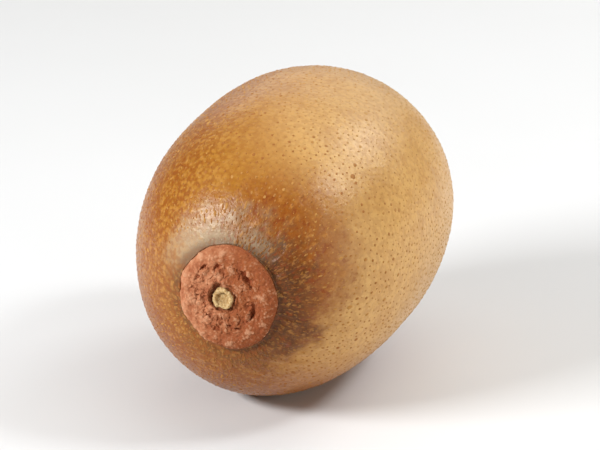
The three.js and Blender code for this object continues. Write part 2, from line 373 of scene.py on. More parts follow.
@dataclass
class Collar:
    """The corky disc at the stem end: a rolled rim, a broken ring of cracks, and a pit for the stalk."""

    x: float = 0.0 * MM
    z: float = -0.35 * MM
    radius: float = 8.76 * MM
    oval: float = 0.035
    wave: float = 0.018
    cut: float = 0.045
    rim_round: float = 1.0 * MM
    face_out: float = 0.22 * MM
    dome: float = 0.85 * MM
    depth: float = 3.87 * MM
    ring_gap: float = 0.06 * MM
    plateau_drop: float = 0.35 * MM
    plateau_radius: float = 4.8 * MM
    pit_radius: float = 2.6 * MM
    pit_depth: float = 1.2 * MM
    pit_lip: float = 0.2 * MM
    pit_x: float = -0.60 * MM
    pit_z: float = 0.30 * MM
    pit_left_drop: float = 0.9 * MM
    pit_right_rise: float = 0.6 * MM
    trough: float = 0.24 * MM
    trough_radius: float = 5.4 * MM
    trough_spread: float = 0.50 * MM
    fold: float = 0.32 * MM
    split: float = 0.18 * MM
    roll: float = 0.20 * MM
    roll_radius: float = 7.1 * MM
    roll_spread: float = 1.0 * MM
    crumb: float = 0.24 * MM
    crumb_size: float = 0.62 * MM
    fine_crumb: float = 0.10 * MM
    fine_crumb_size: float = 0.33 * MM
    columns: int = 480

    @property
    def face_place(self) -> float:
        """The face's place along the axis, from the middle of the berry."""
        return -BERRY_LENGTH / 2 - self.face_out

    def outline(self, turn: Array) -> Array:
        """Gives the collar's outer radius, over the round one, at each turn.

        Args:
            turn: The turns round the collar.

        Returns:
            A share of about 1 for each turn.
        """
        waves = 0.6 * np.sin(5 * turn + 0.8) + 0.4 * np.sin(9 * turn + 2.1)
        cuts = bell(turn_between(turn, -133), 0.40) + 0.6 * bell(turn_between(turn, 140), 0.35)
        return 1 - self.oval * np.cos(2 * turn) + self.wave * waves - self.cut * cuts

    def face(self, distance: float) -> float:
        """Gives the domed face's place, inwards from its middle, at a distance from it."""
        return self.dome * (distance / self.radius) ** 2

    def section(self) -> Section:
        """Draws the half section with the middle of the face at 0 and the back at the depth."""
        edge = self.radius - self.rim_round
        back = [(0.0, self.depth), (self.radius * 0.5, self.depth), (self.radius, self.depth)]
        top = self.face(edge) + self.rim_round
        side = [(self.radius, self.depth + (top - self.depth) * share)
                for share in (0.3, 0.5, 0.65, 0.8, 0.9)]
        rim = arc((edge, top), self.rim_round, -self.rim_round, np.linspace(0, math.pi / 2, 15))
        rings = np.arange(edge - self.ring_gap, self.pit_radius + self.pit_lip, -self.ring_gap)
        face = [(float(radius), self.face(float(radius))) for radius in rings]
        foot = self.face(self.pit_radius) + self.pit_lip
        mouth_turns = np.radians(np.linspace(75, 0, 6))
        mouth = arc((self.pit_radius + self.pit_lip, foot), -self.pit_lip, -self.pit_lip, mouth_turns)
        floor = self.plateau_drop + self.pit_depth
        wall = [(self.pit_radius * (1 - 0.1 * share), foot + (floor - foot) * share)
                for share in np.linspace(0.08, 1, 14)]
        bottom = [(self.pit_radius * 0.9 * share, floor) for share in (0.8, 0.6, 0.4, 0.2)]
        return back + side + rim + face + mouth + wall + bottom + [(0.0, floor)]

    def relief(self, points: Array) -> tuple[Array, Array]:
        """Works out how far the face is pushed in.

        Args:
            points: The collar's points, with the middle of the face at 0.

        Returns:
            The depth at each point, in metres, in all and by the trough, cracks and folds alone.
        """
        distance, turn = polar(points)
        strayed = distance + rippled(points, Ripple(0.42, 1.3, 4.2), Ripple(0.20, 0.45, 8.8))
        plateau = self.plateau_drop * fall(distance - self.plateau_radius, -0.8 * MM, 1.0 * MM)
        there = ramp(grain(wrapped(turn, 2.5), 1.0, 3.3), -0.25, 0.25)
        trough = self.trough * there * bell(strayed - self.trough_radius, self.trough_spread)
        cracks = np.sum([crack.depth_at(strayed, turn) for crack in CRACKS], axis=0)
        low = 0.45 + 0.55 * ramp(-np.sin(turn), -0.4, 0.6)
        fold_band = ramp(distance, 2.8 * MM, 3.3 * MM) * fall(strayed, 4.9 * MM, 6.0 * MM)
        winding = grain(wrapped(turn, 3.6, distance / (2.6 * MM) * 1.1), 1.0, 7.7)
        folds = self.fold * creases(winding, 0.24) * fold_band * low
        ring = ramp(distance, 3.0 * MM, 3.9 * MM) * fall(distance, 5.8 * MM, 6.9 * MM)
        splits = self.split * creases(grain(points * np.array([1, 0, 1]), 1.5 * MM, 12.3), 0.11) * ring
        broken = cracks + np.maximum(np.maximum(trough, folds), splits)
        roll = self.roll * bell(distance - self.roll_radius, self.roll_spread)
        return plateau + broken - roll, broken

    def cork(self, points: Array) -> Array:
        """Works out the cork's crumbly grain.

        Args:
            points: The collar's points, with the middle of the face at 0.

        Returns:
            The height at each point, in metres.
        """
        coarse = self.crumb * (crumbs(points, self.crumb_size, 6.1) - 0.55)
        fine = self.fine_crumb * (crumbs(points, self.fine_crumb_size, 2.7) - 0.55)
        return rippled(points, Ripple(0.24, 1.5, 1.9)) + coarse + fine

    def build(self, place: Place) -> Piece:
        """Models the collar.

        Args:
            place: The middle of the berry.

        Returns:
            The collar, in its seat.
        """
        piece = spin_section("calyx_disc", self.section(), self.columns)
        points = points_of(piece)
        radius, turn = polar(points)
        pit = self.pit_radius
        outline = 1 + (self.outline(turn) - 1) * ramp(radius, 2 * MM, 6 * MM)
        outline += 0.16 * grain(wrapped(turn, 1.6), 1.0, 4.6) * fall(radius, pit, 1.8 * pit)
        toward_pit = fall(radius, pit, 2.2 * pit)
        points[:, 0] = points[:, 0] * outline + self.pit_x * toward_pit
        points[:, 2] = points[:, 2] * outline + self.pit_z * toward_pit
        front = fall(points[:, 1], 1.9 * MM, 2.6 * MM)
        crumbly = 1 - 0.8 * ramp(points[:, 1], 1.1 * MM, 1.9 * MM) * (radius > self.radius * 0.8)
        pushed, broken = self.relief(points)
        from_pit = points[:, 0] - self.pit_x
        in_pit = fall(radius, 0.8 * pit, 0.95 * pit) * (points[:, 1] < 2.5 * MM)
        drop = self.pit_left_drop * ramp(-from_pit, 0.2 * pit, pit)
        beside_stub = ramp(radius, 0.55 * pit, 0.72 * pit)
        rise = self.pit_right_rise * ramp(from_pit, -0.1 * pit, 0.5 * pit) * beside_stub
        points[:, 1] += (drop - rise) * in_pit
        shown = front * ramp(polar(points, self.pit_x, self.pit_z)[0], pit * 0.96, pit * 1.05)
        points[:, 1] += pushed * shown
        move_vertices(piece, points)
        cork = self.cork(points) * front * crumbly
        # how deep each crack runs, for the material's painted shade down the cracks
        keep_attribute(piece, "hollow", broken * shown / MM)
        # the crumbs' height, for the material's painted shade in their hollows and painted light on their
        # tops
        keep_attribute(piece, "crest", cork / MM)
        seat = np.array(place) + np.array([self.x, self.face_place, self.z])
        return settle(piece, points + outward_of(piece) * cork[:, None] + seat)


@dataclass
class Stub:
    """The stalk's broken core: a small pale cup with a torn rim, standing in the collar's pit."""

    radius: float = 1.8 * MM
    wall: float = 0.7 * MM
    rim: float = 0.3 * MM
    proud: float = 0.20 * MM
    hollow: float = 0.9 * MM
    x: float = -0.50 * MM
    z: float = -0.35 * MM
    solid_x: float = -0.55 * MM
    solid_z: float = -0.15 * MM
    height: float = 1.85 * MM
    columns: int = 144

    def section(self) -> Section:
        """Draws the half section with the rim at 0 and the foot at the height."""
        inner = self.radius - self.wall
        outer = [(self.radius * share, self.height) for share in (0.0, 0.5, 0.86)]
        outer += [(self.radius * (0.86 + 0.12 * share), self.height * (1 - share) + self.rim * share)
                  for share in np.linspace(0.1, 1, 14)]
        half = self.wall / 2
        rim = arc((self.radius - half, self.rim), half, -self.rim, np.linspace(0.15, math.pi - 0.15, 16))
        cup = [(inner * (1 - share ** 1.5), self.hollow * math.sin(share * math.pi / 2) + 0.1 * MM)
               for share in np.linspace(0.15, 0.95, 16)]
        return outer + rim + cup + [(0.0, self.hollow + 0.1 * MM)]

    def build(self, place: Place, collar: Collar) -> Piece:
        """Models the stub.

        Args:
            place: The middle of the berry.
            collar: The collar whose pit it stands in.

        Returns:
            The stub, standing in the pit.
        """
        piece = spin_section("stalk_core", self.section(), self.columns)
        points = points_of(piece)
        radius, turn = polar(points)
        high = fall(points[:, 1], 0.5 * MM, 1.4 * MM)
        torn = 0.60 * bell(turn_between(turn, 125), 0.8)
        torn += 0.38 * grain(points * np.array([1, 0.3, 1]), 0.95 * MM, 2.2) + 0.10
        points[:, 1] += np.maximum(0, torn) * MM * high * ramp(radius, 0.2 * MM, 0.9 * MM)
        points *= np.array([1.04, 1, 0.94])
        move_vertices(piece, points)
        outward = outward_of(piece)
        fibre = rippled(points, Ripple(0.22, 1.0, 9.2), Ripple(0.16, 0.42, 3.9), Ripple(0.07, 0.18, 14.1))
        keep_attribute(piece, "hollow", ramp(0.62 * self.radius - radius, 0, 0.5 * MM) * high)
        face = collar.face_place + collar.plateau_drop - self.proud
        seat = np.array(place) + np.array([self.x, face, self.z])
        return settle(piece, points + outward * (fibre * high)[:, None] + seat)


# ---- the berry, its pores and its dried styles --------------------------------------------------


LEATHER = (Ripple(0.060, 6.5, 3.1), Ripple(0.030, 2.6, 11.7), Ripple(0.018, 1.0, 27.4))


@dataclass
class Berry:
    """The berry in its skin: an egg with a leaning oval section, three soft lobes and a low beak."""

    length: float = BERRY_LENGTH
    width: float = 53.6 * MM
    thickness: float = 49.8 * MM
    lean: float = math.radians(73)
    pole_flatness: float = 2.45
    side_fullness: float = 2.37
    stem_taper: float = -0.01
    lobe_height: float = 0.0157
    lobe_turn: float = math.radians(8.3)
    unevenness: float = 0.12 * MM
    shrink: float = 0.12 * MM
    floor_softness: float = 0.12 * MM
    beak_height: float = 0.9 * MM
    beak_radius: float = 3.7 * MM
    pucker_count: int = 11
    pucker_depth: float = 0.62 * MM
    pucker_radius: float = 4.9 * MM
    pucker_spread: float = 1.9 * MM
    dimple: float = 0.9 * MM
    seat_radius: float = 8.63 * MM
    seat_depth: float = 2.6 * MM
    lip: float = 0.30 * MM
    tuft_seat_radius: float = 1.75 * MM
    groove: float = 0.45 * MM
    groove_radius: float = 9.3 * MM
    groove_spread: float = 1.1 * MM
    stroke: float = 0.34 * MM
    stroke_count: float = 13
    stroke_length: float = 1.7 * MM
    columns: int = 384
    rows: int = 236

    @property
    def mean_radius(self) -> float:
        """The radius of a round berry of the same girth."""
        return (self.width + self.thickness) / 4

    def profile(self, along: Array) -> Array:
        """Gives the share of the radius at places from 1, the stem end, to -1, the blossom end."""
        bulge = np.clip(1 - np.abs(along) ** self.pole_flatness, 0, 1) ** (1 / self.side_fullness)
        return bulge * (1 + self.stem_taper * along)

    def skin_rows(self) -> Section:
        """Spaces the rows of the skin, closest together round the stem end and at the beak."""
        along = np.cos(np.linspace(0, math.pi, 4001))
        radius = self.mean_radius * self.profile(along)
        place = -self.length / 2 * along
        step = np.hypot(np.diff(radius), np.diff(place))
        walked = np.concatenate([[0], np.cumsum(step)])
        start = np.interp(self.seat_radius + self.lip, radius[:1500], walked[:1500])
        spacing = 0.24 + 0.26 * ramp(walked, 14 * MM, 34 * MM) - 0.22 * ramp(walked, 84 * MM, 100 * MM)
        crowd = np.concatenate([[0], np.cumsum(step / spacing[1:])])
        wanted = np.linspace(np.interp(start, walked, crowd), crowd[-1], self.rows)
        walk = np.interp(wanted, crowd, walked)
        return [(float(np.interp(w, walked, radius)), float(np.interp(w, walked, place))) for w in walk]

    def section(self) -> Section:
        """Draws the half section: the collar's seat, its lip, and the skin to the blossom end."""
        skin = self.skin_rows()
        edge = skin[0][1]
        floor = edge + self.seat_depth
        seat = [(self.seat_radius * share, floor) for share in (0.0, 0.3, 0.6, 0.85, 1.0)]
        wall = self.seat_depth - self.lip
        seat += [(self.seat_radius, floor - wall * share) for share in (0.25, 0.5, 0.75, 1.0)]
        lip_middle = (self.seat_radius + self.lip, edge + self.lip)
        seat += arc(lip_middle, -self.lip, -self.lip, np.radians([22.5, 45, 67.5]))
        return seat + skin[:-1] + [(0.0, skin[-1][1])]

    def grow(self, points: Array, collar: Collar) -> Array:
        """Turns the round berry into the leaning, lobed one, with a seat that follows the collar.

        Args:
            points: The round berry's points.
            collar: The collar that the seat follows.

        Returns:
            The grown berry's points, still round the Y axis.
        """
        radius, turn = polar(points)
        along = np.clip(-points[:, 1] / (self.length / 2), -1, 1)
        middle = 1 - along * along
        lobes = 1 + self.lobe_height * middle * np.cos(3 * (turn - self.lobe_turn))
        coarse = np.sin(2 * turn + 4 * along + 0.6) * np.sin(3 * along + 1.1)
        fine = 0.5 * np.sin(5 * turn - 7 * along) * np.cos(9 * along + 2 * turn)
        swell = 1 + self.unevenness * middle * (coarse + fine) / (self.width / 2)
        wide = radius * np.cos(turn - self.lean) * lobes * swell * (self.width / 2 / self.mean_radius)
        narrow = radius * np.sin(turn - self.lean) * lobes * swell * (self.thickness / 2 / self.mean_radius)
        grown = np.stack([
            wide * math.cos(self.lean) - narrow * math.sin(self.lean),
            points[:, 1],
            wide * math.sin(self.lean) + narrow * math.cos(self.lean),
        ], axis=1)
        outline = collar.outline(turn)
        seated = points.copy()
        seated[:, 0] = seated[:, 0] * outline + collar.x
        seated[:, 2] = seated[:, 2] * outline + collar.z
        near = fall(radius, self.seat_radius + self.lip, self.seat_radius + 5 * MM)
        near *= points[:, 1] < -self.length / 4
        return grown + (seated - grown) * near[:, None]

    def blossom_relief(self, points: Array) -> Array:
        """Works out the beak and the puckers round it.

        Args:
            points: The grown berry's points, with its middle at 0.

        Returns:
            How far each point moves along the axis.
        """
        distance, turn = polar(points)
        fold = 0.5 + 0.5 * np.cos(self.pucker_count * turn + 1.3 * np.sin(2 * turn))
        pucker = self.pucker_depth * fold * bell(distance - self.pucker_radius, self.pucker_spread)
        dimple = self.dimple * fall(distance, self.tuft_seat_radius * 0.60, self.tuft_seat_radius * 1.05)
        bumps = rippled(points, Ripple(0.24, 2.1, 6.6)) * bell(distance - self.beak_radius, 3.5 * MM)
        relief = self.beak_height * bell(distance, self.beak_radius) - pucker - dimple + bumps
        return np.where(points[:, 1] > 0, relief, 0)

    def skin_relief(self, points: Array, collar: Collar) -> Array:
        """Works out the skin's soft leathery waves and its rough strokes round the stem end.

        Args:
            points: The grown berry's points, with its middle at 0.
            collar: The collar that the strokes run out from.

        Returns:
            The height at each point, in metres.
        """
        leather = rippled(points, *LEATHER)
        distance = polar(points, collar.x, collar.z)[0]
        turn = polar(points)[1]
        stem_side = points[:, 1] < 0
        spokes = grain(wrapped(turn, self.stroke_count, distance / self.stroke_length), 1.0, 5.5)
        zone = ramp(distance, 8.7 * MM, 9.9 * MM) * fall(distance, 14 * MM, 22 * MM) * stem_side
        right = 0.12 + 0.88 * ramp(np.cos(turn - math.radians(-20)), -0.8, 0.7)
        strokes = self.stroke * (np.maximum(0, spokes) - 0.15) * zone * right
        groove = self.groove * bell(distance - self.groove_radius, self.groove_spread) * right * stem_side
        return leather + strokes - groove - self.shrink

    def rest(self, height: Array) -> Array:
        """Presses what lies under the floor up onto it, with a soft edge.

        Args:
            height: Each point's height over the floor.

        Returns:
            The new heights, none of them under the floor.
        """
        soft = self.floor_softness
        pressed = soft * np.log1p(np.exp(np.minimum(height / soft, 30)))
        return np.where(height > soft * 4, height, np.maximum(0, pressed))

    def build(self, place: Place, collar: Collar) -> Piece:
        """Models the berry.

        Args:
            place: The middle of the berry.
            collar: The collar that the berry's seat follows.

        Returns:
            The berry, resting on the floor.
        """
        piece = spin_section("berry_skin", self.section(), self.columns)
        points = self.grow(points_of(piece), collar)
        seat = (polar(points)[0] < 11 * MM) & (points[:, 1] < 0)
        points[:, 1] += self.blossom_relief(points)
        move_vertices(piece, points)
        outward = outward_of(piece)
        inside = seat & (outward[:, 1] > -0.2)
        relief = np.where(inside, 0, self.skin_relief(points, collar))
        points = points + outward * relief[:, None] + np.array(place)
        points[:, 2] = self.rest(points[:, 2])
        return settle(piece, points)


@dataclass
class Specks:
    """The skin's pores: low corky specks, drawn out into short strokes round the stem end."""

    spacing: float = 1.14 * MM
    crowding: float = 0.30
    radius: float = 0.185 * MM
    height: float = 0.075 * MM
    sunk: float = 0.04 * MM
    collar_gap: float = 0.5 * MM
    tuft_gap: float = 2.4 * MM
    floor_gap: float = 1.0 * MM
    sides: int = 7
    seed: int = 7
    most: int = 7600

    def speck(self) -> Piece:
        """Models one speck, a low dome of unit radius and height, on the floor."""
        choose()
        bpy.ops.mesh.primitive_circle_add(vertices=self.sides, fill_type="NGON", location=(0, 0, 0))
        piece = bpy.context.object
        piece.name = "skin_specks"
        with editing("FACE"):
            bpy.ops.mesh.extrude_region_move(TRANSFORM_OT_translate={"value": (0, 0, 0.75)})
            bpy.ops.transform.resize(value=(0.60, 0.60, 1))
            bpy.ops.mesh.poke(offset=0.25)
            turn_faces_out()
        return piece

    def sites(self, points: Array, allowed: Array, crowd: Array) -> Array:
        """Picks well-spread points of the skin, closer together in some patches than in others.

        Args:
            points: The skin's points.
            allowed: Whether each point may hold a speck.
            crowd: How much closer they stand at each point, from 0 to 1.

        Returns:
            The numbers of the picked points.
        """
        random = np.random.default_rng(self.seed)
        order = random.permutation(np.flatnonzero(allowed))
        patchy = 1 + self.crowding * grain(points[order], 7 * MM, 9.4)
        gaps = self.spacing * patchy * random.uniform(0.7, 1.15, len(order))
        gaps *= 1 - 0.3 * crowd[order]
        cells = np.floor(points[order] / (1.6 * self.spacing)).astype(int)
        taken: dict[tuple[int, int, int], list[Point]] = {}
        picked = []
        for number, gap, cell in zip(order, gaps, cells):
            here = points[number]
            near = [
                other
                for i in (-1, 0, 1) for j in (-1, 0, 1) for k in (-1, 0, 1)
                for other in taken.get((cell[0] + i, cell[1] + j, cell[2] + k), ())
            ]
            if all(math.dist(here, other) > gap for other in near):
                taken.setdefault(tuple(cell), []).append(tuple(here))
                picked.append(number)
        return np.array(picked[:self.most])

    def copies(self, count: int) -> Piece:
        """Models one speck and copies it on the spot, as one piece.

        Args:
            count: How many specks to make.

        Returns:
            All the specks, each in the same place.
        """
        piece = self.speck()
        array = piece.modifiers.new("copies", "ARRAY")
        array.count = count
        array.use_relative_offset = False
        bpy.ops.object.modifier_apply(modifier=array.name)
        return piece

    def spread(self, shape: Array, points: Array, up: Array, outwards: Array, rough: Array,
               random: np.random.Generator) -> Array:
        """Sets each speck at its point, lying on the skin, with a size and a ragged edge of its own.

        Args:
            shape: The specks' points, one row of points for each speck.
            points: Where the specks go.
            up: The skin's outward direction at each speck.
            outwards: The way from the collar's axis to each speck.
            rough: How much each speck is drawn out along that way, from 0 to 1.
            random: The source of the random draws.

        Returns:
            The specks' new points, in the same rows.
        """
        count, one = shape.shape[:2]
        along = outwards - up * np.sum(outwards * up, axis=1)[:, None]
        along /= np.linalg.norm(along, axis=1)[:, None]
        across = np.cross(up, along)
        size = self.radius * np.exp(random.normal(0, 0.30, count)) * (1 - 0.18 * rough)
        stretch = 1 + random.uniform(0.2, 1.6, count) * rough + random.uniform(0, 0.35, count)
        ragged = random.uniform(0.84, 1.16, (count, one))
        long_side = shape[:, :, 0] * ragged * (size * stretch)[:, None]
        short_side = shape[:, :, 1] * ragged * (size * (1 - 0.15 * rough))[:, None]
        height = self.height * random.uniform(0.6, 1.25, count) + self.sunk
        rise = shape[:, :, 2] * height[:, None] - self.sunk
        placed = points[:, None, :]
        for length, way in ((long_side, along), (short_side, across), (rise, up)):
            placed = placed + length[:, :, None] * way[:, None, :]
        return placed

    def build(self, skin: Piece, place: Place, collar: Collar) -> Piece:
        """Copies a speck over the skin, and keeps for the material how rough and shaded each one is.

        Args:
            skin: The finished skin.
            place: The middle of the berry.
            collar: The collar that the specks crowd round.

        Returns:
            All the specks, as one piece.
        """
        points = points_of(skin)
        local = points - np.array(place)
        away, heading = polar(local, collar.x, collar.z)
        stem_side = local[:, 1] < 0
        allowed = np.where(stem_side, away > collar.radius + self.collar_gap, away > self.tuft_gap)
        allowed &= points[:, 2] > self.floor_gap
        bare = bell(turn_between(heading, 135), 0.9) * fall(away, 10 * MM, 15 * MM) * stem_side
        allowed &= bare < 0.35
        crowd = fall(away, 12 * MM, 22 * MM) * stem_side
        picked = self.sites(points, allowed, crowd)
        piece = self.copies(len(picked))
        shape = points_of(piece).reshape(len(picked), -1, 3)
        outwards = local[picked] - np.array([collar.x, 0, collar.z])
        outwards[:, 1] = 0
        random = np.random.default_rng(self.seed + 1)
        placed = self.spread(shape, points[picked], outward_of(skin)[picked], outwards, crowd[picked], random)
        shade = 0.1 + 0.9 * ramp(np.cos(heading - math.radians(-5)), -0.75, 0.5)
        shade *= fall(away, 11 * MM, 18 * MM) * stem_side
        marks = {"tone": random.uniform(0, 1, len(picked)), "rough": crowd[picked], "shade": shade[picked]}
        for name, values in marks.items():
            keep_attribute(piece, name, np.repeat(values, shape.shape[1]))
        return settle(piece, placed.reshape(-1, 3))


@dataclass
class Tuft:
    """The flower's dried styles: thin curled threads on a small pad in the middle of the beak."""

    pad_radius: float = 1.45 * MM
    pad_height: float = 0.75 * MM
    count: int = 30
    length: float = 2.75 * MM
    thickness: float = 0.32 * MM
    spread: float = 1.75 * MM
    root_sunk: float = 0.55 * MM
    root_rise: float = 0.3 * MM
    head_room: float = 0.35 * MM
    golden_turn: float = math.radians(137.5)

    def pad(self) -> Piece:
        """Models the pad that the styles grow from."""
        half = self.pad_height / 2
        rise = arc((0.0, half), self.pad_radius, half, np.linspace(0, math.pi / 2, 10))[:-1]
        foot = [(self.pad_radius * share, 0.0) for share in (0.0, 0.6, 1.0)]
        section = foot + rise + [(0.0, self.pad_height)]
        piece = spin_section("dried_styles", section[::-1], 48)
        points = points_of(piece)
        points[:, 1] += rippled(points, Ripple(0.12, 0.7, 2.0)) * ramp(points[:, 1], 0, 0.4 * MM)
        move_vertices(piece, points)
        return piece

    def style(self, index: int, tip_place: float) -> Piece:
        """Models one style, from a cone that is cut across, thinned and curled.

        Args:
            index: Which style it is; each has its own turn, length and curl.
            tip_place: How far up the longest style may reach.

        Returns:
            The style, rooted in the pad.
        """
        choose()
        root_radius = self.thickness / 2
        bpy.ops.mesh.primitive_cone_add(vertices=7, radius1=root_radius, radius2=root_radius / 2, depth=1)
        piece = bpy.context.object
        with editing("EDGE"):
            bpy.ops.mesh.select_all(action="DESELECT")
        for edge in piece.data.edges:
            ends = [piece.data.vertices[number].co.z for number in edge.vertices]
            edge.select = abs(ends[0] - ends[1]) > 0.5
        bpy.ops.object.mode_set(mode="EDIT")
        bpy.ops.mesh.subdivide(number_cuts=11)
        bpy.ops.object.mode_set(mode="OBJECT")
        points = points_of(piece)
        share = points[:, 2] + 0.5
        outer = math.sqrt((index + 0.5) / self.count)
        length = min(self.length * (1 - 0.35 * outer) * (0.85 + 0.15 * math.sin(2.4 * index)), tip_place)
        curl = index * self.golden_turn + (0.5 + 0.7 * share) * share * math.sin(1.7 * index)
        lean = self.pad_radius * 0.72 * outer + self.spread * share ** 1.5 * (0.25 + 0.75 * outer)
        knob = 1 + 0.6 * bell(share - 0.94, 0.07)
        wither = (1 - 0.35 * share) * (1 + 0.20 * np.sin(9 * share + index))
        move_vertices(piece, np.stack([
            points[:, 0] * knob * wither + lean * np.cos(curl),
            self.root_rise + share * length,
            points[:, 1] * knob * wither * 0.75 + lean * np.sin(curl),
        ], axis=1))
        return piece

    def build(self, place: Place, berry: Berry) -> Piece:
        """Models the tuft.

        Args:
            place: The middle of the berry.
            berry: The berry whose beak it stands in.

        Returns:
            The tuft, standing in the beak's dimple.
        """
        root = berry.length / 2 + berry.beak_height - self.root_sunk
        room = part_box(Node.TUFT.value)[1].y - place.y - root - self.head_room
        piece = self.pad()
        threads = [self.style(index, room) for index in range(self.count)]
        choose(*threads, piece)
        bpy.ops.object.join()
        with editing("VERT"):
            turn_faces_out()
        return settle(piece, points_of(piece) + np.array(place) + np.array([0, root, 0]))


# ---- finishes -----------------------------------------------------------------------------------


def linear(code: str) -> tuple[float, float, float, float]:
    """Turns an sRGB hex colour into the linear one that a shader takes."""
    channels = [int(code[place:place + 2], 16) / 255 for place in (1, 3, 5)]
    return (*[c / 12.92 if c <= 0.04045 else ((c + 0.055) / 1.055) ** 2.4 for c in channels], 1.0)


class Finish:
    """A material under construction: its node tree, and its colour and relief so far."""

    def __init__(self, name: str, place: Place, base: str) -> None:
        """Starts a material of one colour, with its patterns centred on a point of the frame.

        Args:
            name: The material's name.
            place: The point that its patterns are centred on.
            base: The colour that lies under all the others.
        """
        self.material = bpy.data.materials.new(name)
        self.material.use_nodes = True
        self.tree = self.material.node_tree
        self.colour: str | Socket = base
        self.relief: Socket | None = None
        where = self.add("TexCoord").outputs["Object"]
        shift = tuple(-value for value in place)
        self.point = self.add("Mapping", {"Vector": where, "Location": shift}).outputs[0]

    def feed(self, socket: Socket, value: Value | tuple) -> None:
        """Links a socket to another one, or sets it to a value."""
        if isinstance(value, Socket):
            self.tree.links.new(value, socket)
        else:
            socket.default_value = value

    def add(self, kind: str, inputs: dict | None = None, **settings) -> bpy.types.Node:
        """Adds a node with its settings and inputs.

        Args:
            kind: The node's type, without the ShaderNode in front.
            inputs: A socket to link, or a value to set, for each input's name or number.
            settings: The node's own properties.

        Returns:
            The new node.
        """
        node = self.tree.nodes.new("ShaderNode" + kind)
        for name, value in settings.items():
            setattr(node, name, value)
        for name, value in (inputs or {}).items():
            self.feed(node.inputs[name], value)
        return node

    @cached_property
    def axes(self) -> list[Socket]:
        """The x, y and z from the middle of the berry."""
        return list(self.add("SeparateXYZ", {0: self.point}).outputs)

    @cached_property
    def far_side(self) -> Socket:
        """A place that grows to the right and, less, upwards."""
        return self.plus(self.axes[0], self.times(self.axes[2], 0.3))

    def attribute(self, name: str) -> Socket:
        """Reads a number that the mesh carries."""
        return self.add("Attribute", attribute_name=name).outputs["Fac"]

    def noise(self, size: float, detail: float = 3, rough: float = 0.5, at: Socket | None = None) -> Socket:
        """Adds noise with patches of a real size, from 0 to 1."""
        inputs = {"Vector": at or self.point, "Scale": 1 / size, "Detail": detail, "Roughness": rough}
        return self.add("TexNoise", inputs).outputs["Fac"]

    def pebbles(self, size: float) -> Socket:
        """Adds packed round grains.

        Args:
            size: The real size of one grain.

        Returns:
            1 in the middle of each grain, down to 0 between them.
        """
        stir = self.add("TexNoise", {"Vector": self.point, "Scale": 1 / size}).outputs["Color"]
        bent = self.vector("MULTIPLY_ADD", stir, (0.5 * size,) * 3, self.point)
        cells = self.add("TexVoronoi", {"Vector": bent, "Scale": 1 / size})
        return self.steps(cells.outputs["Distance"], 0.64, 0.04)

    def vector(self, operation: str, *vectors: Socket | tuple, output: int = 0) -> Socket:
        """Adds one sum of vectors, whose output 0 is a vector and output 1 a number."""
        return self.add("VectorMath", dict(enumerate(vectors)), operation=operation).outputs[output]

    def combine(self, **axes: Value) -> Socket:
        """Joins an X, a Y and a Z to a vector, each 0 where it isn't given."""
        return self.add("CombineXYZ", axes).outputs[0]

    def facing(self, heading: Socket, turn: float) -> Socket:
        """Gives 1 where a level heading points at a turn in degrees, 0 across it and -1 away from it."""
        way = (math.cos(math.radians(turn)), 0, math.sin(math.radians(turn)))
        return self.vector("DOT_PRODUCT", heading, way, output=1)

    def math(self, operation: str, first: Value, second: Value) -> Socket:
        """Adds one sum."""
        return self.add("Math", {0: first, 1: second}, operation=operation).outputs[0]

    def plus(self, first: Value, second: Value) -> Socket:
        """Adds two values up."""
        return self.math("ADD", first, second)

    def minus(self, first: Value, second: Value) -> Socket:
        """Takes the second value from the first."""
        return self.math("SUBTRACT", first, second)

    def times(self, first: Value, *others: Value) -> Value:
        """Multiplies values."""
        for other in others:
            first = self.math("MULTIPLY", first, other)
        return first

    def larger(self, first: Value, second: Value) -> Socket:
        """Gives the larger of two values."""
        return self.math("MAXIMUM", first, second)

    def steps(self, value: Socket, low: float, high: float, start: float = 0.0, end: float = 1.0) -> Socket:
        """Goes smoothly from start, at low, to end, at high."""
        inputs = {"Value": value, 1: low, 2: high, 3: start, 4: end}
        return self.add("MapRange", inputs, interpolation_type="SMOOTHSTEP").outputs[0]

    def mix(self, share: Value, *colours: str | Socket) -> Socket:
        """Mixes two colours, each a hex code or a socket."""
        first, second = [linear(colour) if isinstance(colour, str) else colour for colour in colours]
        return self.add("Mix", {0: share, 6: first, 7: second}, data_type="RGBA").outputs[2]

    def coat(self, colour: str | Socket, *shares: Value) -> None:
        """Lays a colour over the material's own, by the product of the shares."""
        self.colour = self.mix(self.times(*shares), self.colour, colour)

    def bump(self, height: Socket, distance: float) -> None:
        """Raises the surface further.

        Args:
            height: The height, from 0 to 1.
            distance: How far a height of 1 stands out.
        """
        inputs = {"Height": height, "Distance": distance, "Strength": 1.0}
        if self.relief is not None:
            inputs["Normal"] = self.relief
        self.relief = self.add("Bump", inputs).outputs[0]

    def done(self, **values: Value | tuple) -> Material:
        """Sets or links the surface shader's own inputs, and gives the finished material.

        Args:
            values: A value or a socket for each input, with _ for the spaces in its name.

        Returns:
            The material.
        """
        shader = self.tree.nodes["Principled BSDF"]
        values["Base_Color"] = self.colour
        if self.relief is not None:
            values["Normal"] = self.relief
        for name, value in values.items():
            self.feed(shader.inputs[name.replace("_", " ")], value)
        return self.material


